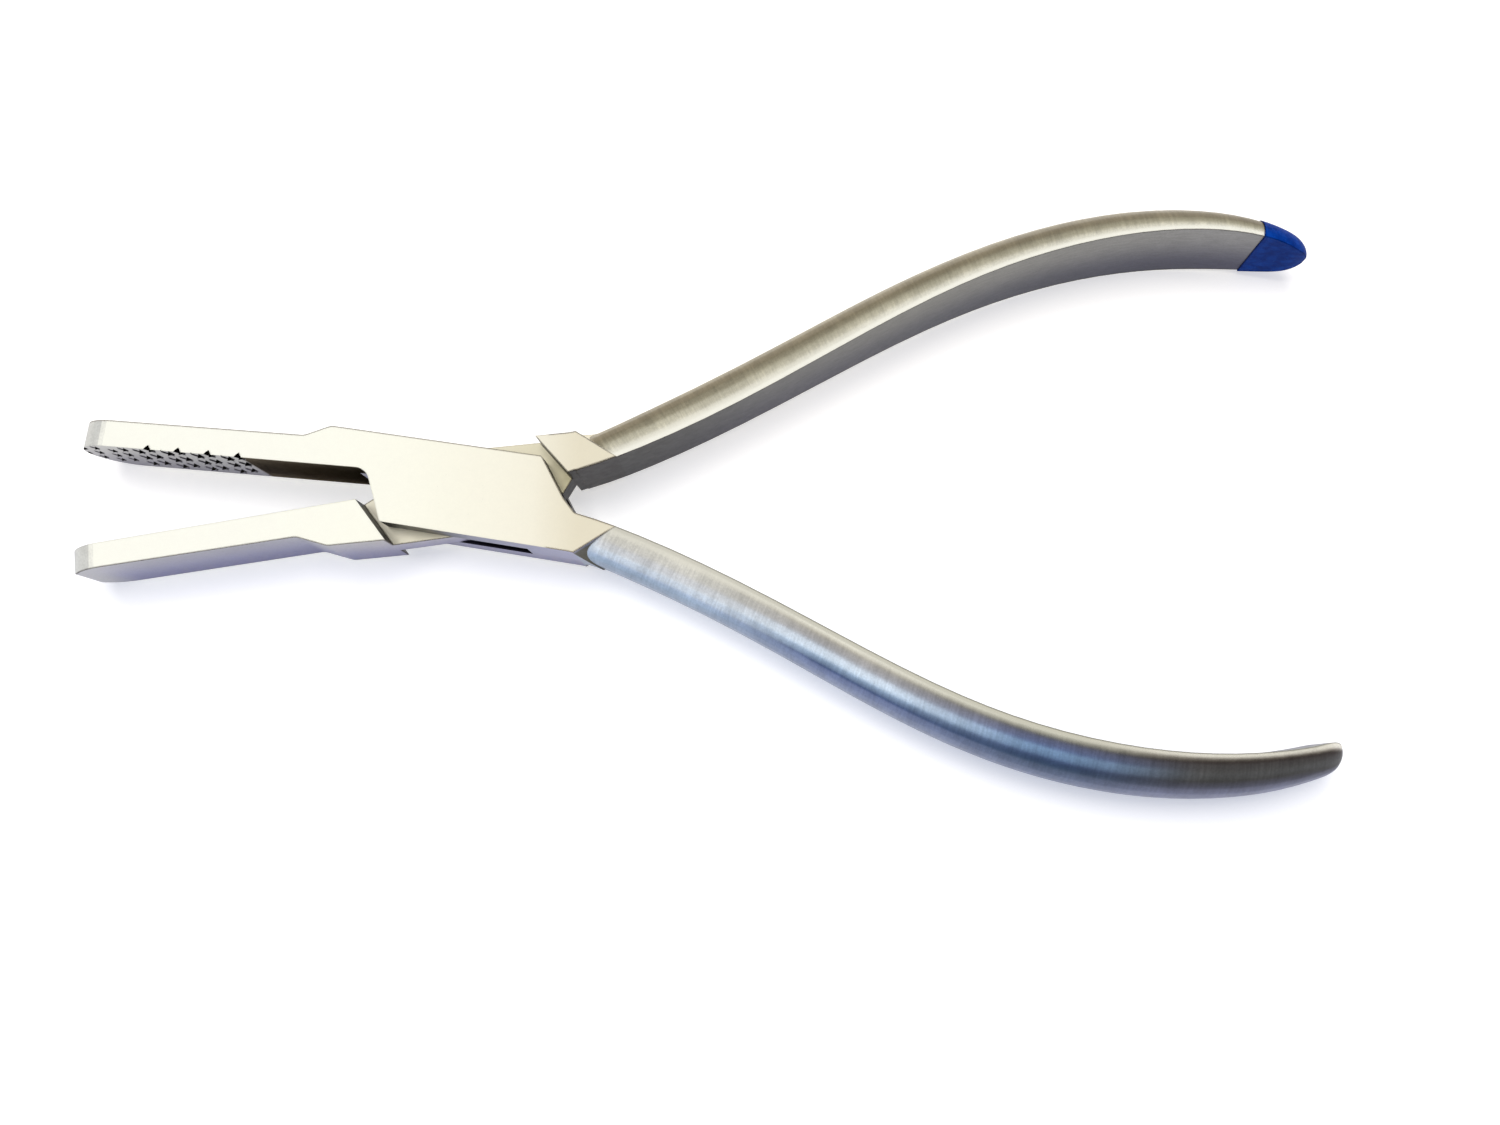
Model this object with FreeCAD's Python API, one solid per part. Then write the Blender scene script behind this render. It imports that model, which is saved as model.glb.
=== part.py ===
import FreeCAD, Part

import math
import os

from FreeCAD import Matrix, Vector

# Nail extraction forceps: two forged steel halves crossing in a box joint.
# The pin stands on the Z axis, the jaws point to -X and the handles to +X.
# Z = 0 is the lower flat of the joint. All lengths are millimetres.
# Each half is drawn closed, with its jaw on the +Y side and its handle on the -Y side.
# The tongue half is then mirrored, and both halves are turned open to the pose in which they lie.

# Whole forging
body_thickness = 9.0
half_opening = 7.63
mid_height = body_thickness / 2
overrun = 4.0

# Jaws
jaw_reach = 44.5
jaw_root_reach = 18.3
jaw_root_width = 3.1
box_jaw_tip_width = 2.95
tongue_jaw_tip_width = 2.7
closed_gap = 0.12
parting_height = -0.03
parting_angle = 2.0
jaw_relief = 0.3
nose_corner_radius = 0.9
nose_corner_setback = 0.4
nose_overrun = 0.1

# Box joint, seen from above
box_shoulder_reach = 15.5
box_shoulder_height = 5.6
box_rear_reach = 8.14
box_rear_height = 5.13
box_front_root_reach = 10.8
box_front_fillet = 1.7
box_front_reach = 8.27
box_front_drop = 4.27
box_rear_inner_reach = 11.25
box_rear_inner_height = 0.78
crotch_reach = 12.75
crotch_drop = 0.72
crotch_radius = 0.9
neck_reach = 13.3
neck_drop = 4.95
neck_bend_run = 2.7
neck_bend_drop = 0.85
shoulder_radius = 1.6
corner_radius = 0.25

# Tongue, which passes through the slot in the box
tongue_thickness = 3.0
slot_clearance = 0.05
shoulder_clearance = 0.35
rear_shoulder_gap = 0.6
rear_shoulder_lift = 0.2
tongue_front_reach = 11.5
tongue_shoulder_reach = 15.0
tongue_shoulder_height = 3.86
tongue_side_height = 4.12
tongue_rear_reach = 10.7
tongue_rear_height = 0.9
tongue_tail_reach = 7.0
tongue_crown_reach = 1.5
tongue_crown_drop = 5.55

# Ends of the slot: solid webs tie the two walls of the box together at the jaw and at the handle
jaw_web_front_reach = 12.4
jaw_web_rear_reach = 3.4
handle_web_front_reach = 7.6
handle_web_rear_reach = 12.1
handle_web_rear_height = 0.2

# Joint pin, ground flush with both flats
pin_radius = 2.0
pin_head_radius = 2.6
pin_head_depth = 0.8
pin_clearance = 0.04

# Handles: a D section with its flat side inwards. The points lie along the inner edge.
shank_points = ((12.7, -0.65), (26.0, -4.0), (42.0, -9.85), (58.0, -15.4))
box_bow_points = ((75.0, -17.65), (95.9, -13.75))
tongue_bow_points = ((75.0, -17.95), (95.9, -14.0))
grip_height_neck = 8.9
grip_height_belly = 11.7
grip_depth_neck = 4.1
box_shank_depth = 4.5
box_belly_depth = 4.9
box_end_depth = 2.3
tongue_shank_depth = 4.8
tongue_belly_depth = 4.45
tongue_end_depth = 1.3
neck_length = 12.0
neck_stations = (0, 8, 16, 26, 38, 50)
belly_start = 14.0
belly_place = 62.0
slimming_start = 57.0
end_power = 4
end_turns = (0, 25, 45, 60, 72, 80, 86)
end_rounding = 2.0
end_inset = 0.4
oval_pieces = 14

# Colour coat over the end of the tongue half's handle
coat_thickness = 0.12
coat_length = 5.8

# Scoops that let the flats run out into the handles
scoop_angle = 40.0
scoop_radius = 5.0
scoop_run = 2.45
scoop_length = 48.0

# Cross-cut teeth on the gripping faces
tooth_rows = 3
teeth_per_row = 11
tooth_pitch = 1.71
tooth_row_pitch = 3.1
tooth_row_shift = 0.6
tooth_stagger = 0.5
tooth_first_reach = 42.2
tooth_edge_margin = 0.7
tooth_width = 1.15
tooth_height = 2.7
tooth_skew = 0.34
tooth_lean = 0.25
tooth_depth = 0.6
nose_tooth_size = 0.69
full_tooth_column = 4


def slope(angle):
    return math.tan(math.radians(angle))


def ease(share):
    share = min(max(share, 0.0), 1.0)
    return share * share * (3 - 2 * share)


def unit(vector):
    return Vector(vector).normalize()


def plan_wire(corners):
    """A closed outline in the XY plane from (x, y, corner radius) entries."""
    points = [Vector(x, y, 0) for x, y, _ in corners]
    count = len(points)
    ends = []
    for i, (_, _, radius) in enumerate(corners):
        here = points[i]
        back = unit(points[i - 1] - here)
        ahead = unit(points[(i + 1) % count] - here)
        half_angle = back.getAngle(ahead) / 2
        reach = radius / math.tan(half_angle)
        bisector = unit(back + ahead)
        middle = here + bisector * (radius / math.sin(half_angle) - radius)
        ends.append((here + back * reach, middle, here + ahead * reach))
    edges = []
    for i, (_, _, radius) in enumerate(corners):
        start, middle, end = ends[i]
        if radius > 0:
            edges.append(Part.Arc(start, middle, end).toShape())
        edges.append(Part.LineSegment(end, ends[(i + 1) % count][0]).toShape())
    return Part.Wire(edges)


def prism(corners, bottom, top):
    """A plan outline raised from one height to another."""
    face = Part.Face(plan_wire(corners))
    face.translate(Vector(0, 0, bottom))
    return face.extrude(Vector(0, 0, top - bottom))


def extended(start, end, extra):
    """The two ends of a plan line, each moved outwards along it."""
    start = Vector(start[0], start[1], 0)
    end = Vector(end[0], end[1], 0)
    along = unit(end - start) * extra
    return start - along, end + along


def sharp(point):
    return (point.x, point.y, 0)


def face_line(side):
    """Height and slope at X = 0 of a gripping face. side is 1 for the box half, -1 for the tongue half."""
    tilt = slope(parting_angle) * side + slope(jaw_relief)
    return (parting_height * side + closed_gap / 2) + tilt * jaw_reach, tilt


def face_height(side, x):
    start, tilt = face_line(side)
    return start + tilt * x


def jaw_side_form():
    """The jaws seen from the side: flat above and below, with a fully rounded nose."""
    centre = -jaw_reach + mid_height
    top_left = Vector(centre, 0, body_thickness)
    nose = Vector(-jaw_reach, 0, mid_height)
    bottom_left = Vector(centre, 0, 0)
    bottom_right = Vector(jaw_reach, 0, 0)
    top_right = Vector(jaw_reach, 0, body_thickness)
    outline = Part.Wire([
        Part.Arc(top_left, nose, bottom_left).toShape(),
        Part.LineSegment(bottom_left, bottom_right).toShape(),
        Part.LineSegment(bottom_right, top_right).toShape(),
        Part.LineSegment(top_right, top_left).toShape(),
    ])
    width = 2 * box_shoulder_height
    form = Part.Face(outline).extrude(Vector(0, 2 * width, 0))
    form.translate(Vector(0, -width, 0))
    return form


def jaw_corners(side, tip_width, shoulder_reach, shoulder_height):
    """The jaw's outline from its outer shoulder round the nose to its inner tip."""
    outer_tip = face_height(side, -jaw_reach) + tip_width
    outer_root = face_height(side, -jaw_root_reach) + jaw_root_width
    return [
        (-shoulder_reach, shoulder_height, shoulder_radius),
        (-jaw_root_reach, outer_root, shoulder_radius),
        (-jaw_reach + nose_corner_setback, outer_tip, nose_corner_radius),
        (-jaw_reach - nose_overrun, face_height(side, -jaw_reach), 0),
    ]


def d_section(place, tangent, height, depth, outset):
    """Flat inner face and half-oval outer face, square to the handle's line."""
    normal = Vector(tangent.y, -tangent.x, 0)
    half = height / 2 + outset
    swell = depth + 2 * outset
    turn = math.pi / oval_pieces
    edges = [Part.LineSegment(Vector(0, -1, 0), Vector(0, 1, 0)).toShape()]
    for i in range(oval_pieces):
        angles = (i * turn, (i + 0.5) * turn, (i + 1) * turn)
        start, middle, end = (Vector(math.sin(angle), math.cos(angle), 0) for angle in angles)
        edges.append(Part.Arc(start, middle, end).toShape())
    origin = place - normal * outset
    frame = Matrix(
        normal.x * swell, 0, tangent.x, origin.x,
        normal.y * swell, 0, tangent.y, origin.y,
        0, half, 0, mid_height,
        0, 0, 0, 1)
    return Part.Wire(edges).transformGeometry(frame)


class Handle:
    """A handle's D sections, which stand along the line of its inner edge."""

    def __init__(self, bow_points, shank_depth, belly_depth, end_depth):
        self.curve = Part.BSplineCurve()
        self.curve.interpolate([Vector(x, y, 0) for x, y in shank_points + bow_points])
        self.length = self.curve.length()
        self.shank_depth = shank_depth
        self.belly_depth = belly_depth
        self.end_depth = end_depth

    def place(self, distance):
        """A point on the line, the direction there and the outward direction."""
        parameter = self.curve.parameterAtDistance(distance, self.curve.FirstParameter)
        tangent = self.curve.tangent(parameter)[0]
        return self.curve.value(parameter), tangent, Vector(tangent.y, -tangent.x, 0)

    def size(self, distance):
        """Height, depth and inset of the section at a distance along the line."""
        rise = ease((distance - belly_start) / (belly_place - belly_start))
        height = grip_height_neck + (grip_height_belly - grip_height_neck) * rise
        depth = grip_depth_neck + (self.shank_depth - grip_depth_neck) * ease(distance / neck_length)
        depth += (self.belly_depth - self.shank_depth) * rise
        if distance > slimming_start:
            share = (distance - slimming_start) / (self.length - slimming_start)
            depth = self.end_depth + (depth - self.end_depth) * math.sqrt(1 - share ** 2)
        if distance > belly_place:
            share = (distance - belly_place) / (self.length - belly_place)
            height *= math.sqrt(1 - share ** end_power)
        inset = 0.0
        if distance > self.length - end_rounding:
            share = 1 - (self.length - distance) / end_rounding
            rounding = math.sqrt(1 - share ** 2)
            inset = depth * (1 - rounding) * end_inset
            depth *= rounding
        return height, depth, inset

    def form(self, outset=0.0):
        """The handle, or a copy of it swollen all round by outset."""
        round_end = self.length - belly_place
        places = list(neck_stations)
        places += [belly_place + round_end * math.sin(math.radians(turn)) for turn in end_turns]
        sections = []
        for distance in places:
            height, depth, inset = self.size(distance)
            point, tangent, outward = self.place(distance)
            shift = outward * inset + tangent * (outset * distance / self.length)
            sections.append(d_section(point + shift, tangent, height, depth, outset))
        return Part.makeLoft(sections, True, False)


def neck_corners(handle):
    """Where the flat plate of a half runs into its handle."""
    inner, _, outward = handle.place(neck_length / 2)
    outer = inner + outward * grip_depth_neck
    return [
        sharp(inner),
        sharp(outer),
        (neck_reach + neck_bend_run, -neck_drop - neck_bend_drop, 0),
        (neck_reach, -neck_drop, neck_length / 2),
    ]


def scooped(plate):
    """Cuts the plate's end with two cylinders, one above and one below."""
    along = Vector(math.cos(math.radians(scoop_angle)), math.sin(math.radians(scoop_angle)), 0)
    across = Vector(along.y, -along.x, 0)
    edge = Vector(neck_reach, -neck_drop, body_thickness)
    chord = Vector(scoop_run, 0, -mid_height)
    lift = math.sqrt(scoop_radius ** 2 - (chord.Length / 2) ** 2)
    normal = unit(Vector(mid_height, 0, scoop_run))
    centre = chord / 2 + normal * lift
    top = edge + across * centre.x + Vector(0, 0, centre.z) - along * (scoop_length / 2)
    block = Part.makeBox(scoop_length, 2 * scoop_radius, body_thickness + 2 * overrun)
    block.translate(Vector(-scoop_length / 2, 0, -overrun))
    block.rotate(Vector(0, 0, 0), Vector(0, 0, 1), scoop_angle - 180)
    block.translate(Vector(edge.x, edge.y, 0) + across * centre.x)
    bottom = Vector(top.x, top.y, body_thickness - top.z)
    cutters = [
        Part.makeCylinder(scoop_radius, scoop_length, top, along),
        Part.makeCylinder(scoop_radius, scoop_length, bottom, along),
        block,
    ]
    return plate.cut(cutters)


def tooth_cutter(place, size):
    """A four-sided pit: sharp ridges are left between neighbours."""
    width = tooth_width * size / 2
    height = tooth_height * size / 2
    skew = tooth_skew * size
    lean = tooth_lean * size
    depth = Vector(0, tooth_depth * size, 0)
    rim = [
        place + Vector(-lean, 0, height),
        place + Vector(width, 0, -skew),
        place + Vector(lean, 0, -height),
        place + Vector(-width, 0, skew),
    ]
    faces = []
    for apex in (place + depth, place - depth):
        for i in range(4):
            corners = [rim[i], rim[(i + 1) % 4], apex, rim[i]]
            faces.append(Part.Face(Part.makePolygon(corners)))
    return Part.makeSolid(Part.Shell(faces))


def toothed(half, side):
    """Cuts the staggered rows of teeth into a gripping face, upside down on the tongue half."""
    cutters = []
    for row in range(tooth_rows):
        for column in range(teeth_per_row):
            size = nose_tooth_size + (1 - nose_tooth_size) * ease((column - 1) / (full_tooth_column - 1))
            stagger = tooth_stagger * (1 if column % 2 == 0 else -1)
            rise = (mid_height - tooth_edge_margin - tooth_row_pitch * row + stagger) * size
            x = -tooth_first_reach + tooth_pitch * column - tooth_row_shift * row
            place = Vector(x, face_height(side, x), mid_height + rise * side)
            cutters.append(tooth_cutter(place, size))
    return half.cut(cutters)


def wall_edge(x):
    """Height of the box's upper edge at x."""
    share = (x + box_shoulder_reach) / (box_rear_reach + box_shoulder_reach)
    return box_shoulder_height + (box_rear_height - box_shoulder_height) * share


def lower_edge(x):
    """Height of the box's lower edge at x."""
    share = (x + box_front_reach) / (neck_reach + box_front_reach)
    return -box_front_drop - (neck_drop - box_front_drop) * share


def slot():
    """The way through the box for the tongue, between the two webs."""
    jaw_web = extended(
        (-jaw_web_front_reach, face_height(1, -jaw_web_front_reach)),
        (-jaw_web_rear_reach, wall_edge(-jaw_web_rear_reach)), overrun)
    handle_web = extended(
        (handle_web_rear_reach, handle_web_rear_height),
        (handle_web_front_reach, lower_edge(handle_web_front_reach)), overrun)
    outline = [
        sharp(jaw_web[0]),
        sharp(jaw_web[1]),
        (handle_web_rear_reach + overrun, box_rear_height + overrun, 0),
        sharp(handle_web[0]),
        sharp(handle_web[1]),
        (-jaw_web_front_reach, -box_front_drop - overrun, 0),
    ]
    wall = (body_thickness - tongue_thickness) / 2 - slot_clearance
    return prism(outline, wall, body_thickness - wall)


def pin_form(extra=0.0):
    """The pin with its countersunk ends, or the hole for it."""
    radius = pin_radius + extra
    outline = Part.makePolygon([
        Vector(0, 0, 0),
        Vector(pin_head_radius, 0, 0),
        Vector(radius, 0, pin_head_depth),
        Vector(radius, 0, body_thickness - pin_head_depth),
        Vector(pin_head_radius, 0, body_thickness),
        Vector(0, 0, body_thickness),
        Vector(0, 0, 0),
    ])
    return Part.Face(outline).revolve(Vector(0, 0, 0), Vector(0, 0, 1), 360)


def box_half():
    """The half with the slotted box: jaw, box and handle in one forging."""
    handle = Handle(box_bow_points, box_shank_depth, box_belly_depth, box_end_depth)
    outline = jaw_corners(1, box_jaw_tip_width, box_shoulder_reach, box_shoulder_height)
    outline += [
        (-box_front_root_reach, face_height(1, -box_front_root_reach), box_front_fillet),
        (-box_front_reach, -box_front_drop, corner_radius),
    ]
    outline += list(reversed(neck_corners(handle)))
    outline += [
        (crotch_reach, -crotch_drop, crotch_radius),
        (box_rear_inner_reach, box_rear_inner_height, corner_radius),
        (box_rear_reach, box_rear_height, corner_radius),
    ]
    plate = prism(outline, 0, body_thickness).common(jaw_side_form())
    half = scooped(plate).fuse(handle.form())
    half = half.cut([slot(), pin_form()])
    return toothed(half, 1)


def tongue_handle():
    return Handle(tongue_bow_points, tongue_shank_depth, tongue_belly_depth, tongue_end_depth)


def tongue_half():
    """The half whose thin tongue fills the box: jaw, tongue and handle in one forging."""
    handle = tongue_handle()
    front_foot = -box_front_reach - shoulder_clearance
    rear_foot = box_rear_reach + rear_shoulder_gap
    rear_head = box_rear_inner_reach + rear_shoulder_gap
    front_head_height = face_height(-1, -tongue_front_reach)
    rear_head_height = -box_rear_inner_height + rear_shoulder_lift
    outline = jaw_corners(-1, tongue_jaw_tip_width, tongue_shoulder_reach, tongue_shoulder_height)
    outline += [
        (-tongue_front_reach, front_head_height, 0),
        (-tongue_crown_reach, -tongue_crown_drop, corner_radius),
    ]
    outline += list(reversed(neck_corners(handle)))
    outline += [
        (rear_head, rear_head_height, 0),
        (tongue_rear_reach, tongue_rear_height, corner_radius),
        (tongue_tail_reach, tongue_side_height, corner_radius),
        (front_foot, tongue_side_height, 0),
    ]
    plate = prism(outline, 0, body_thickness).common(jaw_side_form())
    half = scooped(plate).fuse(handle.form())
    front = extended((-tongue_front_reach, front_head_height), (front_foot, tongue_side_height), overrun)
    rear = extended((rear_foot, -box_rear_height), (rear_head, rear_head_height), overrun)
    strip = [sharp(front[0]), sharp(rear[0]), sharp(rear[1]), sharp(front[1])]
    recess_depth = (body_thickness - tongue_thickness) / 2
    half = half.cut([
        prism(strip, -overrun, recess_depth),
        prism(strip, body_thickness - recess_depth, body_thickness + overrun),
        Part.makeCylinder(pin_radius + pin_clearance, body_thickness),
    ])
    return toothed(half, -1)


def end_coat():
    """The thin colour coat over the end of the tongue half's handle."""
    handle = tongue_handle()
    edge, tangent, outward = handle.place(handle.length - coat_length)
    side = outward * grip_height_belly
    ahead = tangent * (2 * coat_length)
    corners = (edge - side, edge + side, edge + side + ahead, edge - side + ahead)
    end = prism([sharp(corner) for corner in corners], -overrun, body_thickness + overrun)
    return handle.form(coat_thickness).common(end).cut(handle.form())


def opened(shape, side):
    """Turns a half open about the pin. The tongue half is mirrored first."""
    if side < 0:
        shape = shape.mirror(Vector(0, 0, 0), Vector(0, 1, 0))
    shape.rotate(Vector(0, 0, 0), Vector(0, 0, 1), -side * half_opening)
    return shape


parts = {
    "box_half": opened(box_half(), 1),
    "tongue_half": opened(tongue_half(), -1),
    "joint_pin": pin_form(),
    "blue_end_coat": opened(end_coat(), -1),
}

os.makedirs("parts", exist_ok=True)
for name, shape in parts.items():
    shape.exportStep("parts/" + name + ".step")
    box = shape.BoundBox
    print(name, shape.isValid(), len(shape.Solids), round(shape.Volume, 1),
          [round(v, 2) for v in (box.XMin, box.YMin, box.ZMin, box.XMax, box.YMax, box.ZMax)])
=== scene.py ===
import math

import bmesh
import bpy
from mathutils import Matrix, Vector


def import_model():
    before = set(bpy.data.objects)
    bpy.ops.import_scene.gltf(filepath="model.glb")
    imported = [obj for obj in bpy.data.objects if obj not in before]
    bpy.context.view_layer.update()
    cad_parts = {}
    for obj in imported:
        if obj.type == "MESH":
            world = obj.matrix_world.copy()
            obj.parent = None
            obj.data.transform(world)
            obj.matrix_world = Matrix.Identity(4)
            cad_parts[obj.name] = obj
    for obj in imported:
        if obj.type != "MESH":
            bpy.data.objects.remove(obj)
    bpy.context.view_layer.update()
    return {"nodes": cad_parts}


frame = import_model()

# The forceps, in millimetres, as they lie: the joint pin on the Z axis, the jaws towards -X.
# A half that is drawn closed has its jaw at +Y and its handle at -Y.
MM = 0.001
BODY_THICKNESS = 9.0
MID_HEIGHT = BODY_THICKNESS / 2
LOWEST_POINT = -1.4
HALF_OPENING = math.radians(7.63)
PARTING_ANGLE = math.radians(2.0)
JAW_RELIEF = math.radians(0.3)
JAW_END = -9.6
TOOTHED_TO = -24.6
TOOTH_FIRST_REACH = 42.2
TOOTH_PITCH = 1.71
TOOTH_ROW_PITCH = 3.1
TOOTH_ROW_SHIFT = 0.6
TOOTH_STAGGER = 0.5
TOOTH_EDGE_MARGIN = 0.7
NOSE_TOOTH_SIZE = 0.69
FULL_TOOTH_COLUMN = 4.0
TOOTH_ROWS = 3
NOSE = -40.5
JOINT_END = 9.5
PIN_HEAD_MARGIN = 3.0, 3.4
SCOOP_ANGLE = math.radians(40.0)
SCOOP_EDGE = Vector((13.3, -4.95, 0))
BOW_CENTRE = Vector((80.0, 89.0, 0))
BOW_RADIUS = 121.0

# The shaded corner of a full-sized tooth: its lean, its half height and its two sides' slopes
TOOTH_CUT_LEAN = 0.5
TOOTH_CUT_HALF = 1.35
TOOTH_CUT_TOP = 0.56
TOOTH_CUT_FOOT = 0.94
TOOTH_CUT_SOFTNESS = 0.08

# Which way a cut's shaded facet looks: along the jaw, out of the steel and up
CUT_ALONG = 0.77
CUT_OUT = 0.52
CUT_UP = 0.37
PLAIN_GRIP_BEND = 0.45

# How far the finish rounds the edges, in metres
STEEL_EDGE = 0.34 * MM
COAT_EDGE = 0.25 * MM
DOME_ROUNDING = 0.8 * MM

# Sockets of Blender's Mix node
MIX_COLOURS = 6, 7
MIXED_COLOUR = 2
MIX_VECTORS = 4, 5
MIXED_VECTOR = 1

# The camera of the photograph
IMAGE_WIDTH = 1500
FOCAL_PIXELS = 1336.18
SENSOR_WIDTH = 36.0
CAMERA_PLACE = Vector((37.552, -32.231, 148.851)) * MM
CAMERA_TURN = Vector((-0.172109, -0.043298, 0.001589))


def linear(*levels):
    """A colour given by its display levels from 0 to 255, as the shaders want it."""
    values = []
    for level in levels:
        share = level / 255
        values.append(share / 12.92 if share <= 0.04045 else ((share + 0.055) / 1.055) ** 2.4)
    return (*values, 1.0)


def lying(point, side):
    """A point or direction of a closed half, as that half lies. side is 1 for the box half."""
    return Matrix.Rotation(-side * HALF_OPENING, 3, "Z") @ Vector((point.x, point.y * side, 0))


class Nodes:
    """Short ways to add and join shader nodes in one tree."""

    def __init__(self, tree):
        self.tree = tree
        tree.nodes.clear()

    def add(self, kind, **settings):
        node = self.tree.nodes.new(kind)
        for name, value in settings.items():
            setattr(node, name, value)
        return node

    def join(self, source, target):
        if hasattr(source, "outputs"):
            source = source.outputs[0]
        if isinstance(source, bpy.types.NodeSocket):
            self.tree.links.new(source, target)
        else:
            target.default_value = source

    def maths(self, operation, first, second=0.0):
        node = self.add("ShaderNodeMath", operation=operation)
        self.join(first, node.inputs[0])
        self.join(second, node.inputs[1])
        return node.outputs[0]

    def product(self, first, *others):
        for other in others:
            first = self.maths("MULTIPLY", first, other)
        return first

    def ramp(self, value, low, high, to_low=0.0, to_high=1.0):
        """A smooth step: to_low at low and below, to_high at high and above."""
        node = self.add("ShaderNodeMapRange", interpolation_type="SMOOTHSTEP")
        for name, entry in (("Value", value), ("From Min", low), ("From Max", high),
                            ("To Min", to_low), ("To Max", to_high)):
            self.join(entry, node.inputs[name])
        return node.outputs[0]

    def tones(self, value, *stops):
        """A tone that changes smoothly along a value, from (value, display levels) stops."""
        first, last = stops[0][0], stops[-1][0]
        share = self.add("ShaderNodeMapRange")
        for name, entry in (("Value", value), ("From Min", first), ("From Max", last)):
            self.join(entry, share.inputs[name])
        node = self.add("ShaderNodeValToRGB")
        node.color_ramp.interpolation = "CARDINAL"
        elements = node.color_ramp.elements
        for stop, levels in stops[1:-1]:
            elements.new((stop - first) / (last - first)).color = linear(*levels)
        elements[0].color = linear(*stops[0][1])
        elements[len(stops) - 1].color = linear(*stops[-1][1])
        self.join(share, node.inputs[0])
        return node.outputs[0]

    def mix(self, share, first, second, blend="MIX"):
        node = self.add("ShaderNodeMix", data_type="RGBA", blend_type=blend)
        self.join(share, node.inputs[0])
        for colour, socket in zip((first, second), MIX_COLOURS):
            self.join(colour, node.inputs[socket])
        return node.outputs[MIXED_COLOUR]

    def dot(self, vector, direction):
        node = self.add("ShaderNodeVectorMath", operation="DOT_PRODUCT")
        self.join(vector, node.inputs[0])
        self.join(direction, node.inputs[1])
        return node.outputs["Value"]

    def split(self, vector):
        node = self.add("ShaderNodeSeparateXYZ")
        self.join(vector, node.inputs[0])
        return node.outputs

    def gather(self, x, y, z=0.0):
        node = self.add("ShaderNodeCombineXYZ")
        for value, socket in zip((x, y, z), node.inputs):
            self.join(value, socket)
        return node.outputs[0]

    def to_object(self, normal):
        """A normal turned from the scene's directions to the piece's own."""
        node = self.add("ShaderNodeVectorTransform", vector_type="NORMAL",
                        convert_from="WORLD", convert_to="OBJECT")
        self.join(normal, node.inputs[0])
        return node.outputs[0]

    def to_scene(self, direction):
        """A direction of the piece turned to the scene's."""
        node = self.add("ShaderNodeVectorTransform", vector_type="NORMAL",
                        convert_from="OBJECT", convert_to="WORLD")
        self.join(direction, node.inputs[0])
        return node.outputs[0]

    def blend_normals(self, share, first, second):
        """A normal between two others, of full length."""
        node = self.add("ShaderNodeMix", data_type="VECTOR")
        self.join(share, node.inputs[0])
        for normal, socket in zip((first, second), MIX_VECTORS):
            self.join(normal, node.inputs[socket])
        full = self.add("ShaderNodeVectorMath", operation="NORMALIZE")
        self.join(node.outputs[MIXED_VECTOR], full.inputs[0])
        return full.outputs[0]

    def noise(self, vector, scale, detail, roughness):
        node = self.add("ShaderNodeTexNoise")
        self.join(vector, node.inputs["Vector"])
        node.inputs["Scale"].default_value = scale
        node.inputs["Detail"].default_value = detail
        node.inputs["Roughness"].default_value = roughness
        return node.outputs["Fac"]


def group(name, inputs, outputs):
    """An empty shader node group with named sockets. Inputs are name: (kind, value)."""
    tree = bpy.data.node_groups.new(name, "ShaderNodeTree")
    for label, (kind, value) in inputs.items():
        socket = tree.interface.new_socket(name=label, in_out="INPUT", socket_type=kind)
        socket.default_value = value
    for label, kind in outputs.items():
        tree.interface.new_socket(name=label, in_out="OUTPUT", socket_type=kind)
    nodes = Nodes(tree)
    return nodes, nodes.add("NodeGroupInput"), nodes.add("NodeGroupOutput")


def edge_line_group():
    """A mask that is 1 close to a sharp edge, the rounded normal there, and where it points."""
    nodes, entry, result = group(
        "edge_line",
        {"Radius": ("NodeSocketFloat", 0.0002)},
        {"Mask": "NodeSocketFloat", "Normal": "NodeSocketVector", "Direction": "NodeSocketVector"})
    bevel = nodes.add("ShaderNodeBevel", samples=6)
    nodes.join(entry.outputs["Radius"], bevel.inputs["Radius"])
    geometry = nodes.add("ShaderNodeNewGeometry")
    agreement = nodes.dot(bevel.outputs[0], geometry.outputs["Normal"])
    nodes.join(nodes.ramp(agreement, 0.995, 0.88), result.inputs["Mask"])
    nodes.join(bevel.outputs[0], result.inputs["Normal"])
    nodes.join(nodes.to_object(bevel.outputs[0]), result.inputs["Direction"])
    return nodes.tree


def surface_grain_group():
    """The uneven look of a worked surface: soft clouds, small blotches and a fine speckle."""
    nodes, entry, result = group(
        "surface_grain",
        {"Place": ("NodeSocketVector", (0, 0, 0))},
        {"Cloud": "NodeSocketFloat", "Blotch": "NodeSocketFloat", "Speckle": "NodeSocketFloat"})
    spot = entry.outputs["Place"]
    nodes.join(nodes.noise(spot, 0.16, 2.0, 0.5), result.inputs["Cloud"])
    nodes.join(nodes.noise(spot, 0.9, 3.0, 0.6), result.inputs["Blotch"])
    nodes.join(nodes.noise(spot, 4.5, 2.0, 0.6), result.inputs["Speckle"])
    return nodes.tree


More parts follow.
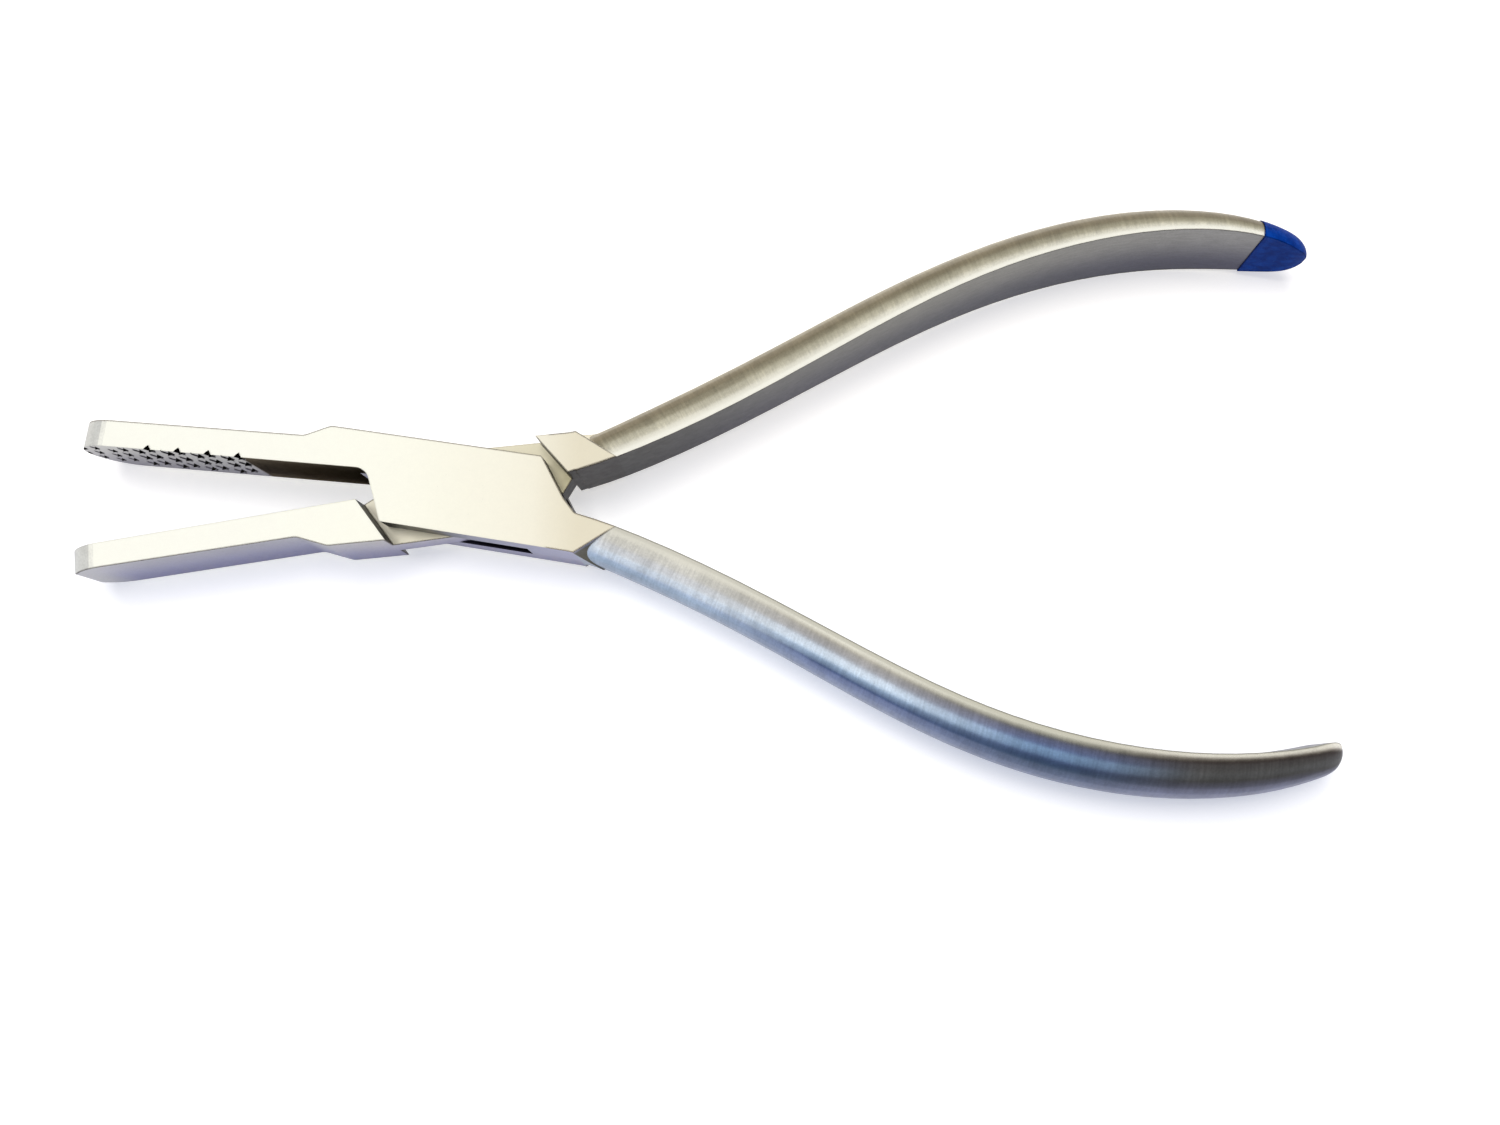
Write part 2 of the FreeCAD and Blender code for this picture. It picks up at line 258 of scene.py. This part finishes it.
def tooth_cut_group():
    """One row of chisel cuts in a gripping face: 1 in the shaded corner of each tooth."""
    nodes, entry, result = group(
        "tooth_cut",
        {label: ("NodeSocketFloat", 0.0) for label in ("Reach", "Rise", "Row")},
        {"Mask": "NodeSocketFloat"})
    row = entry.outputs["Row"]
    row_start = nodes.maths("ADD", TOOTH_FIRST_REACH, nodes.product(row, TOOTH_ROW_SHIFT))
    along = nodes.maths("ADD", entry.outputs["Reach"], row_start)
    columns = nodes.maths("DIVIDE", along, TOOTH_PITCH)
    column = nodes.maths("ROUND", columns)
    odd = nodes.maths("FLOORED_MODULO", column, 2.0)
    size = nodes.ramp(column, 1.0, FULL_TOOTH_COLUMN, NOSE_TOOTH_SIZE, 1.0)
    stagger = nodes.maths("SUBTRACT", TOOTH_STAGGER, nodes.product(odd, 2 * TOOTH_STAGGER))
    middle = nodes.maths("SUBTRACT", MID_HEIGHT - TOOTH_EDGE_MARGIN, nodes.product(row, TOOTH_ROW_PITCH))
    middle = nodes.product(nodes.maths("ADD", middle, stagger), size)
    up = nodes.maths("DIVIDE", nodes.maths("SUBTRACT", entry.outputs["Rise"], middle), size)
    across = nodes.maths("DIVIDE", nodes.product(nodes.maths("SUBTRACT", columns, column), TOOTH_PITCH), size)
    across = nodes.maths("SUBTRACT", across, nodes.product(up, TOOTH_CUT_LEAN))
    below_top = nodes.product(nodes.maths("SUBTRACT", TOOTH_CUT_HALF, up), TOOTH_CUT_TOP)
    above_foot = nodes.product(nodes.maths("ADD", TOOTH_CUT_HALF, up), TOOTH_CUT_FOOT)
    over = nodes.maths("SUBTRACT", below_top, across)
    under = nodes.maths("SUBTRACT", above_foot, across)
    inside = nodes.maths("MINIMUM", nodes.maths("MINIMUM", over, under), across)
    nodes.join(nodes.ramp(inside, 0.0, TOOTH_CUT_SOFTNESS), result.inputs["Mask"])
    return nodes.tree


def place(nodes, tree, **values):
    """Puts a node group in a material, with its own values."""
    node = nodes.add("ShaderNodeGroup")
    node.node_tree = tree
    for name, value in values.items():
        nodes.join(value, node.inputs[name])
    return node


def new_material(name):
    """An empty material, and its nodes."""
    material = bpy.data.materials.new(name)
    material.use_nodes = True
    return material, Nodes(material.node_tree)


def roughen(nodes, shader, height, normal, strength, depth):
    """Makes a shader's surface slightly uneven, and puts the shader on the material."""
    bump = nodes.add("ShaderNodeBump")
    bump.inputs["Strength"].default_value = strength
    bump.inputs["Distance"].default_value = depth
    nodes.join(height, bump.inputs["Height"])
    nodes.join(normal, bump.inputs["Normal"])
    nodes.join(bump, shader.inputs["Normal"])
    output = nodes.add("ShaderNodeOutputMaterial")
    nodes.join(shader, output.inputs["Surface"])


EDGE_LINE = edge_line_group()
TOOTH_CUT = tooth_cut_group()
SURFACE_GRAIN = surface_grain_group()


class Spot:
    """Where a point of a piece lies, in millimetres, and which way its surface looks."""

    def __init__(self, nodes):
        coordinates = nodes.add("ShaderNodeTexCoord")
        millimetres = nodes.add("ShaderNodeVectorMath", operation="SCALE")
        nodes.join(coordinates.outputs["Object"], millimetres.inputs[0])
        millimetres.inputs["Scale"].default_value = 1 / MM
        self.place = millimetres.outputs[0]
        self.x, self.y, self.z = nodes.split(self.place)
        self.normal = coordinates.outputs["Normal"]
        self.normal_z = nodes.split(self.normal)["Z"]
        geometry = nodes.add("ShaderNodeNewGeometry")
        self.scene_normal = geometry.outputs["Normal"]
        self.facet = nodes.to_object(geometry.outputs["True Normal"])
        self.facet_z = nodes.maths("ABSOLUTE", nodes.split(self.facet)["Z"])
        self.off_middle = nodes.maths("ABSOLUTE", nodes.maths("SUBTRACT", self.z, MID_HEIGHT))


# Painted shade and painted dark edge reflections on the steel, as display levels
PIT_SHADE_TONE = (16, 15, 14)
END_WALL_SHADE_TONE = (40, 36, 34)
INNER_EDGE_TONE = (50, 48, 35)
DOME_EDGE_REFLECTION_TONE = (70, 66, 48)
GROOVE_SHADE_TONE = (96, 94, 100)
OUTER_EDGE_REFLECTION_TONE = {1: (104, 90, 68), -1: (58, 50, 44)}
SLOT_SHADE_TONE = (26, 25, 33)
CROTCH_SHADE_TONE = (52, 49, 50)

# The dome's tones by its tilt in degrees, 0 on top and 90 at the handle's outer side: painted reflections of
# the studio, with painted highlights and glints
NECK_DOME_REFLECTION = ((0, (206, 203, 190)), (6, (222, 219, 206)), (18, (208, 206, 198)), (30, (206, 208, 211)),
             (40, (210, 219, 229)), (52, (166, 181, 200)), (62, (140, 156, 174)), (90, (158, 167, 184)))
SHANK_DOME_REFLECTION = ((0, (198, 195, 180)), (5, (230, 227, 213)), (11, (180, 176, 165)), (22, (172, 174, 180)),
              (32, (216, 229, 243)), (40, (168, 188, 210)), (49, (82, 98, 128)), (56, (104, 116, 148)),
              (90, (146, 155, 176)))
BELLY_DOME_REFLECTION = ((0, (204, 201, 184)), (5, (210, 208, 192)), (11, (122, 121, 116)), (23, (96, 108, 142)),
              (32, (122, 150, 184)), (43, (74, 92, 124)), (54, (66, 80, 102)), (90, (122, 132, 162)))
END_DOME_REFLECTION = ((0, (232, 228, 214)), (4, (186, 180, 168)), (10, (84, 78, 72)), (20, (72, 69, 68)),
            (34, (80, 80, 80)), (50, (66, 66, 72)), (70, (108, 112, 136)), (90, (126, 130, 158)))
PLAIN_DOME_REFLECTION = ((0, (248, 246, 234)), (6, (233, 230, 216)), (17, (194, 189, 169)), (31, (136, 129, 108)),
              (46, (137, 128, 107)), (62, (178, 170, 147)), (90, (178, 170, 147)))

# The flat inner face's tones along the handle, near its upper edge and near its lower one: painted shade,
# darker towards its foot and near the neck
INNER_FACE_TOP = ((20, (62, 61, 60)), (32, (98, 98, 98)), (53, (127, 126, 122)), (90, (130, 130, 131)))
INNER_FACE_FOOT = ((20, (58, 57, 60)), (32, (81, 80, 91)), (53, (92, 92, 100)), (90, (77, 77, 94)))


def tilted(stops):
    """Stops by an angle in degrees, with the angle in radians."""
    return [(math.radians(angle), levels) for angle, levels in stops]


def streaks(nodes, along, across, detail=3.0, roughness=0.6):
    """Noise in two lengths, each of them already scaled."""
    return nodes.noise(nodes.gather(along, across), 1.0, detail, roughness)


def handle_tones(nodes, spot, side, edge):
    """The tones of a handle: a cross-brushed dome outside, with the studio's reflection, highlights and
    glints painted by its tilt, and a flat face inside, painted darker towards its foot.
    """
    across_x = nodes.maths("SUBTRACT", spot.x, BOW_CENTRE.x)
    across_y = nodes.maths("SUBTRACT", spot.y, BOW_CENTRE.y * side)
    outwards = nodes.gather(*[nodes.maths("DIVIDE", length, BOW_RADIUS) for length in (across_x, across_y)])
    outward = nodes.dot(spot.normal, outwards)
    rounded = place(nodes, EDGE_LINE, Radius=DOME_ROUNDING).outputs["Direction"]
    upward = nodes.maths("ABSOLUTE", nodes.split(rounded)["Z"])
    tilt = nodes.maths("ARCTAN2", nodes.dot(rounded, outwards), upward)
    along = nodes.product(nodes.maths("ARCTAN2", across_x, nodes.product(across_y, -side)), BOW_RADIUS)

    # Painted reflection by tilt: four sets along the box half's handle, one on the tongue half's
    if side > 0:
        neck = nodes.tones(tilt, *tilted(NECK_DOME_REFLECTION))
        shank = nodes.tones(tilt, *tilted(SHANK_DOME_REFLECTION))
        belly = nodes.tones(tilt, *tilted(BELLY_DOME_REFLECTION))
        end = nodes.tones(tilt, *tilted(END_DOME_REFLECTION))
        dome = nodes.mix(nodes.ramp(spot.x, 24, 40), neck, shank)
        dome = nodes.mix(nodes.ramp(spot.x, 42, 62), dome, belly)
        dome = nodes.mix(nodes.ramp(spot.x, 62, 78), dome, end)
    else:
        dome = nodes.tones(tilt, *tilted(PLAIN_DOME_REFLECTION))

    # Brush marks run across the dome, with broader uneven bands among them
    brushed = streaks(nodes, nodes.product(along, 3.2), nodes.product(spot.z, 0.45))
    bands = streaks(nodes, nodes.product(along, 0.35), nodes.product(spot.z, 0.25), 2.0, 0.5)
    brushed = nodes.ramp(brushed, 0.25, 0.75, 0.88, 1.10)
    bands = nodes.ramp(bands, 0.25, 0.75, 0.90, 1.08)
    shade = nodes.product(brushed, bands)
    on_slope = nodes.ramp(tilt, math.radians(4), math.radians(14))
    dome = nodes.mix(on_slope, dome, nodes.mix(1.0, dome, shade, "MULTIPLY"))
    # On the box half a painted dark reflection runs along the dome's edges
    if side > 0:
        dome = nodes.mix(nodes.product(edge.outputs["Mask"], 0.75), dome, linear(*DOME_EDGE_REFLECTION_TONE))

    # The inner face's painted shade, darker towards its foot
    top = nodes.tones(spot.x, *INNER_FACE_TOP)
    foot = nodes.tones(spot.x, *INNER_FACE_FOOT)
    inner_face = nodes.mix(nodes.ramp(spot.z, 9.0, 0.5), top, foot)
    scrubbed = streaks(nodes, nodes.product(along, 0.5), nodes.product(spot.z, 2.2))
    scrubbed = nodes.ramp(scrubbed, 0.25, 0.75, 0.88, 1.08)
    inner_face = nodes.mix(1.0, inner_face, scrubbed, "MULTIPLY")
    # A painted dark reflection along the inner face's upper edge
    rim_reflection_line = nodes.ramp(upward, 0.40, 0.58)
    inner_face = nodes.mix(nodes.product(rim_reflection_line, 0.9), inner_face, linear(*INNER_EDGE_TONE))
    return nodes.mix(nodes.ramp(outward, -0.7, -0.9), dome, inner_face)


def scoop_light_and_shade(nodes, spot, side):
    """The hollow in which the flats run out into the handle, painted as shade on the box half and as a pale
    reflection on the tongue half.
    """
    if side > 0:
        return nodes.tones(spot.x, (12, (84, 82, 74)), (15, (92, 92, 92)), (19, (106, 109, 136)))
    return nodes.tones(spot.x, (12, (226, 218, 190)), (16, (243, 240, 224)), (20, (236, 233, 214)))


def plate_tones(nodes, spot, side, edge, into_steel):
    """The tones of the jaw and joint, light and shade painted in: ground flats painted bright, walls painted
    greyer, and shade painted in the hollow joint.
    """
    # The flats: painted bright as the overhead light's reflection, a little less bright towards the neck
    flats = nodes.tones(spot.x, (-25, (255, 254, 243)), (-5, (254, 252, 237)), (8, (247, 242, 224)),
                        (13, (233, 225, 202)))
    # Painted shade in the recess: black in the box half's slot; the tongue half's recess floor a little
    # darker than the flats, and darker towards the neck
    if side > 0:
        recess = linear(*SLOT_SHADE_TONE)
    else:
        recess = nodes.tones(spot.x, (-12, (238, 232, 212)), (8, (228, 221, 194)), (13, (196, 186, 146)))
    sunk = nodes.ramp(spot.off_middle, MID_HEIGHT - 0.2, MID_HEIGHT - 0.8)
    level = nodes.mix(sunk, flats, recess)

    # The side walls: painted reflection, darker and bluer towards their foot, lighter at the nose and near
    # the box
    walls = nodes.tones(spot.z, (0, (124, 124, 168)), (4.5, (160, 160, 186)), (9, (186, 185, 191)))
    lift = nodes.tones(spot.x, (-44, (255, 255, 255)), (-38, (238, 238, 240)), (-24, (226, 226, 230)),
                       (-16, (236, 236, 238)), (-9, (255, 252, 245)))
    walls = nodes.mix(1.0, walls, lift, "MULTIPLY")
    # Painted shade: walls that face along the forceps, from about x -19 on, go dark as in the gaps at the
    # shoulders
    turned = nodes.maths("ABSOLUTE", nodes.split(spot.facet)["X"])
    end_wall_shade = nodes.product(nodes.ramp(turned, 0.6, 0.8), nodes.ramp(spot.x, -20, -18))
    walls = nodes.mix(end_wall_shade, walls, linear(*END_WALL_SHADE_TONE))
    # Painted shade: walls past the joint that face in between the handles go dark where the handles part
    inward = nodes.product(nodes.split(spot.facet)["Y"], side)
    past_joint = nodes.ramp(spot.x, JOINT_END - 0.3, JOINT_END + 0.3)
    crotch_shade = nodes.product(past_joint, nodes.ramp(inward, 0.1, 0.4))
    walls = nodes.mix(crotch_shade, walls, linear(*CROTCH_SHADE_TONE))
    if side > 0:
        # Painted shade on the box half's outer wall above mid height: near black at the box's front, turning
        # to the lilac of the walls' painted reflection towards the joint
        box_side_shade = nodes.tones(spot.x, (-8, (34, 31, 33)), (-3, (58, 55, 58)), (1, (128, 130, 152)),
                               (12, (160, 160, 188)))
        under_box = nodes.product(nodes.ramp(spot.x, -9.0, -8.4), nodes.ramp(inward, -0.5, -0.8),
                                  nodes.ramp(spot.z, 3.4, 4.0))
        walls = nodes.mix(under_box, walls, box_side_shade)

    facing = nodes.dot(spot.facet, into_steel)
    on_jaw = nodes.ramp(spot.x, JAW_END + 0.2, JAW_END - 0.2)
    toothed = nodes.ramp(spot.x, TOOTHED_TO + 0.3, TOOTHED_TO - 0.3)
    # The gripping face: its toothed part painted darker towards the foot as shade; its plain part painted
    # dark as a reflection, darker towards the joint
    lands = nodes.tones(spot.z, (0, (120, 118, 135)), (9, (188, 188, 186)))
    bare_face_reflection = nodes.tones(spot.x, (-25, (108, 98, 85)), (-10, (74, 68, 57)))
    grip = nodes.product(nodes.ramp(facing, -0.95, -0.985), on_jaw)
    groove = nodes.product(toothed, nodes.ramp(facing, -0.93, -0.88), nodes.ramp(facing, -0.2, -0.3))
    reach = nodes.dot(spot.place, lying(Vector((1, 0, 0)), side))
    rise = nodes.product(nodes.maths("SUBTRACT", spot.z, MID_HEIGHT), side)
    cut = 0.0
    for row in range(TOOTH_ROWS):
        cuts = place(nodes, TOOTH_CUT, Reach=reach, Rise=rise, Row=float(row))
        cut = nodes.maths("MAXIMUM", cuts.outputs["Mask"], cut)
    # Painted shade: black over the shaded corner of each tooth, on the raised faces and the pits' walls, and
    # in the notches that the pits cut in the top edge
    notch = nodes.product(groove, nodes.ramp(nodes.product(rise, side), 3.7, 4.0))
    pit_shade = nodes.product(toothed, nodes.maths("MAXIMUM", grip, groove), cut)
    pit_shade = nodes.maths("MAXIMUM", pit_shade, notch)

    # At the tip: painted reflection, lighter where the surface faces up
    on_nose = nodes.ramp(spot.x, NOSE + 2.5, NOSE - 1.5)
    upright = nodes.maths("ABSOLUTE", spot.normal_z)
    nose = nodes.tones(upright, (0.0, (170, 170, 176)), (0.6, (200, 201, 198)), (0.93, (212, 212, 206)),
                       (1.0, (240, 239, 229)))
    walls = nodes.mix(on_nose, walls, nose)
    tone = nodes.mix(nodes.ramp(spot.facet_z, 0.95, 0.995), walls, level)
    tone = nodes.mix(grip, tone, nodes.mix(toothed, bare_face_reflection, lands))
    # The pits' walls painted mid grey as shade
    tone = nodes.mix(groove, tone, linear(*GROOVE_SHADE_TONE))
    # A painted dark reflection along the outer edges and all edges past the joint, kept off the pin's head
    outer = nodes.ramp(nodes.dot(edge.outputs["Direction"], into_steel), 0.1, 0.3)
    outer = nodes.maths("MAXIMUM", outer, past_joint)
    squares = nodes.maths("ADD", nodes.product(spot.x, spot.x), nodes.product(spot.y, spot.y))
    from_pin = nodes.maths("SQRT", squares)
    clear_of_pin = nodes.ramp(from_pin, *PIN_HEAD_MARGIN)
    line = nodes.product(edge.outputs["Mask"], outer, clear_of_pin)
    tone = nodes.mix(line, tone, linear(*OUTER_EDGE_REFLECTION_TONE[side]))
    # The pits painted black as shade
    tone = nodes.mix(pit_shade, tone, linear(*PIT_SHADE_TONE))
    round_pin = nodes.maths("SUBTRACT", 1.0, clear_of_pin)
    plain_grip = nodes.product(grip, nodes.maths("SUBTRACT", 1.0, toothed))
    return tone, pit_shade, plain_grip, round_pin


def steel(name, side):
    """The satin steel of one half. side is 1 for the box half, -1 for the tongue half."""
    material, nodes = new_material(name)
    spot = Spot(nodes)
    edge = place(nodes, EDGE_LINE, Radius=STEEL_EDGE)
    grain = place(nodes, SURFACE_GRAIN, Place=spot.place)

    face_turn = math.atan(math.tan(PARTING_ANGLE) * side + math.tan(JAW_RELIEF))
    into_steel = lying(Vector((-math.sin(face_turn), math.cos(face_turn), 0)), side)
    past_scoop = lying(Vector((math.sin(SCOOP_ANGLE), -math.cos(SCOOP_ANGLE), 0)), side)
    scoop_start = lying(SCOOP_EDGE, side).dot(past_scoop)
    beyond = nodes.maths("SUBTRACT", nodes.dot(spot.place, past_scoop), scoop_start)
    on_handle = nodes.ramp(beyond, -0.05, 0.05)
    plan = nodes.maths("SUBTRACT", 1.0001, nodes.product(spot.facet_z, spot.facet_z))
    plan = nodes.maths("SQRT", plan)
    squareness = nodes.maths("DIVIDE", nodes.dot(spot.facet, past_scoop), plan)
    in_scoop = nodes.product(nodes.ramp(squareness, 0.78, 0.9), nodes.ramp(beyond, 4.5, 4.0))

    plate, pit_shade, plain_grip, round_pin = plate_tones(nodes, spot, side, edge, into_steel)
    handle = handle_tones(nodes, spot, side, edge)
    handle = nodes.mix(in_scoop, handle, scoop_light_and_shade(nodes, spot, side))
    tone = nodes.mix(on_handle, plate, handle)
    shade = nodes.product(
        nodes.ramp(grain.outputs["Cloud"], 0.3, 0.7, 0.96, 1.02),
        nodes.ramp(grain.outputs["Blotch"], 0.3, 0.7, 0.94, 1.05),
        nodes.ramp(grain.outputs["Speckle"], 0.3, 0.7, 0.93, 1.06))
    worked = nodes.ramp(spot.facet_z, 1.0, 0.97, 0.12, 1.0)
    tone = nodes.mix(worked, tone, nodes.mix(1.0, tone, shade, "MULTIPLY"))

    shader = nodes.add("ShaderNodeBsdfPrincipled")
    nodes.join(tone, shader.inputs["Base Color"])
    shader.inputs["Metallic"].default_value = 1.0
    nodes.join(nodes.ramp(grain.outputs["Blotch"], 0.2, 0.8, 0.30, 0.40), shader.inputs["Roughness"])
    shader.inputs["Specular Tint"].default_value = (0.78, 0.78, 0.78, 1)

    along = lying(Vector((1, 0, 0)), side)
    up = Vector((0, 0, 1))
    cut_facet = along * CUT_ALONG - into_steel * CUT_OUT + up * CUT_UP * side
    normal = nodes.blend_normals(round_pin, edge.outputs["Normal"], spot.scene_normal)
    normal = nodes.blend_normals(pit_shade, normal, nodes.to_scene(cut_facet))
    bend = nodes.product(plain_grip, PLAIN_GRIP_BEND)
    normal = nodes.blend_normals(bend, normal, nodes.to_scene(up))
    roughen(nodes, shader, grain.outputs["Speckle"], normal, 0.10, 0.02 * MM)
    return material


def blue_coat():
    """The smooth blue coat on the handle's end."""
    material, nodes = new_material("blue_coat")
    spot = Spot(nodes)
    grain = place(nodes, SURFACE_GRAIN, Place=spot.place)
    edge = place(nodes, EDGE_LINE, Radius=COAT_EDGE)
    blotch = nodes.ramp(grain.outputs["Blotch"], 0.3, 0.7)
    speckle = nodes.ramp(grain.outputs["Speckle"], 0.58, 0.74, 0.0, 0.3)
    tone = nodes.mix(blotch, linear(0, 43, 122), linear(6, 62, 154))
    tone = nodes.mix(speckle, tone, linear(40, 92, 180))
    # Painted shade: a dark line along the coat's edges
    tone = nodes.mix(nodes.product(edge.outputs["Mask"], 0.6), tone, linear(0, 14, 70))
    shader = nodes.add("ShaderNodeBsdfPrincipled")
    nodes.join(tone, shader.inputs["Base Color"])
    shader.inputs["Roughness"].default_value = 0.45
    shader.inputs["Specular IOR Level"].default_value = 0.02
    roughen(nodes, shader, grain.outputs["Speckle"], edge.outputs["Normal"], 0.3, 0.04 * MM)
    return material


def dress(node, material):
    """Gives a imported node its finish."""
    data = frame["nodes"][node].data
    data.materials.clear()
    data.materials.append(material)


box_half_steel = steel("box_half_steel", 1)
dress("box_half", box_half_steel)
dress("tongue_half", steel("tongue_half_steel", -1))
dress("joint_pin", box_half_steel)
dress("blue_end_coat", blue_coat())

# The light: an even pale surround, and one soft lamp that the steel doesn't mirror
TABLE_COLOUR = (0.82, 0.80, 0.76, 1)
TABLE_GLOW_COLOUR = (0.90, 0.91, 0.94, 1)
TABLE_COOL_GLOW_COLOUR = (0.80, 0.86, 1.0, 1)
TABLE_TINT_FROM = 12.0
TABLE_TINT_TO = -12.0
TABLE_GLOW = 0.46
SURROUND_COLOUR = (0.42, 0.42, 0.47, 1)


def seen_directly(nodes):
    """1 for rays from the camera and from reflections, 0 for light that falls on a surface."""
    path = nodes.add("ShaderNodeLightPath")
    seen = nodes.maths("MAXIMUM", path.outputs["Is Camera Ray"], path.outputs["Is Glossy Ray"])
    return nodes.maths("MAXIMUM", seen, path.outputs["Is Transmission Ray"])


def floor():
    """A white table top that keeps the shadow."""
    mesh = bpy.data.meshes.new("table_top")
    form = bmesh.new()
    bmesh.ops.create_grid(form, x_segments=1, y_segments=1, size=3.0)
    bmesh.ops.translate(form, verts=form.verts, vec=(0, 0, LOWEST_POINT * MM))
    form.to_mesh(mesh)
    form.free()
    top = bpy.data.objects.new("table_top", mesh)
    bpy.context.scene.collection.objects.link(top)
    material, nodes = new_material("table_white")
    lit = nodes.add("ShaderNodeBsdfDiffuse")
    lit.inputs["Color"].default_value = TABLE_COLOUR
    glow = nodes.add("ShaderNodeEmission")
    spot = Spot(nodes)
    # The glow is painted cooler towards -Y, so the shadows there turn lilac
    cool = nodes.ramp(spot.y, TABLE_TINT_FROM, TABLE_TINT_TO)
    nodes.join(nodes.mix(cool, TABLE_GLOW_COLOUR, TABLE_COOL_GLOW_COLOUR), glow.inputs["Color"])
    nodes.join(nodes.product(seen_directly(nodes), TABLE_GLOW), glow.inputs["Strength"])
    both = nodes.add("ShaderNodeAddShader")
    nodes.join(lit, both.inputs[0])
    nodes.join(glow, both.inputs[1])
    output = nodes.add("ShaderNodeOutputMaterial")
    nodes.join(both, output.inputs["Surface"])
    mesh.materials.append(material)


def world():
    """An even pale surround."""
    surround = bpy.data.worlds.new("pale_surround")
    surround.use_nodes = True
    bpy.context.scene.world = surround
    nodes = Nodes(surround.node_tree)
    dim = nodes.add("ShaderNodeBackground")
    dim.inputs["Color"].default_value = SURROUND_COLOUR
    white = nodes.add("ShaderNodeBackground")
    white.inputs["Color"].default_value = (1, 1, 1, 1)
    mixed = nodes.add("ShaderNodeMixShader")
    nodes.join(seen_directly(nodes), mixed.inputs[0])
    nodes.join(dim, mixed.inputs[1])
    nodes.join(white, mixed.inputs[2])
    output = nodes.add("ShaderNodeOutputWorld")
    nodes.join(mixed, output.inputs["Surface"])


def lamp(name, spot, aim, size, power, colour):
    """A square soft lamp that points at a spot on the table."""
    data = bpy.data.lights.new(name, "AREA")
    data.shape = "SQUARE"
    data.size = size
    data.energy = power
    data.color = colour
    light = bpy.data.objects.new(name, data)
    light.visible_glossy = False
    bpy.context.scene.collection.objects.link(light)
    spot = Vector(spot)
    turn = (Vector(aim) - spot).to_track_quat("-Z", "Y").to_matrix().to_4x4()
    light.matrix_world = Matrix.Translation(spot) @ turn


def camera():
    """The camera that the photograph was taken with, as solved from the picture."""
    data = bpy.data.cameras.new("photo_camera")
    data.sensor_fit = "HORIZONTAL"
    data.sensor_width = SENSOR_WIDTH
    data.lens = SENSOR_WIDTH * FOCAL_PIXELS / IMAGE_WIDTH
    data.clip_start = 0.01
    shot = bpy.data.objects.new("photo_camera", data)
    bpy.context.scene.collection.objects.link(shot)
    turn = Matrix.Rotation(CAMERA_TURN.length, 3, CAMERA_TURN.normalized()).transposed()
    shot.matrix_world = Matrix.Translation(CAMERA_PLACE) @ turn.to_4x4()
    bpy.context.scene.camera = shot


floor()
world()
lamp("overhead_softbox", spot=(-0.01, 0.11, 0.50), aim=(0.02, 0, 0), size=0.26, power=2.0,
     colour=(1.0, 0.985, 0.95))
camera()
bpy.context.scene.view_settings.view_transform = "Standard"
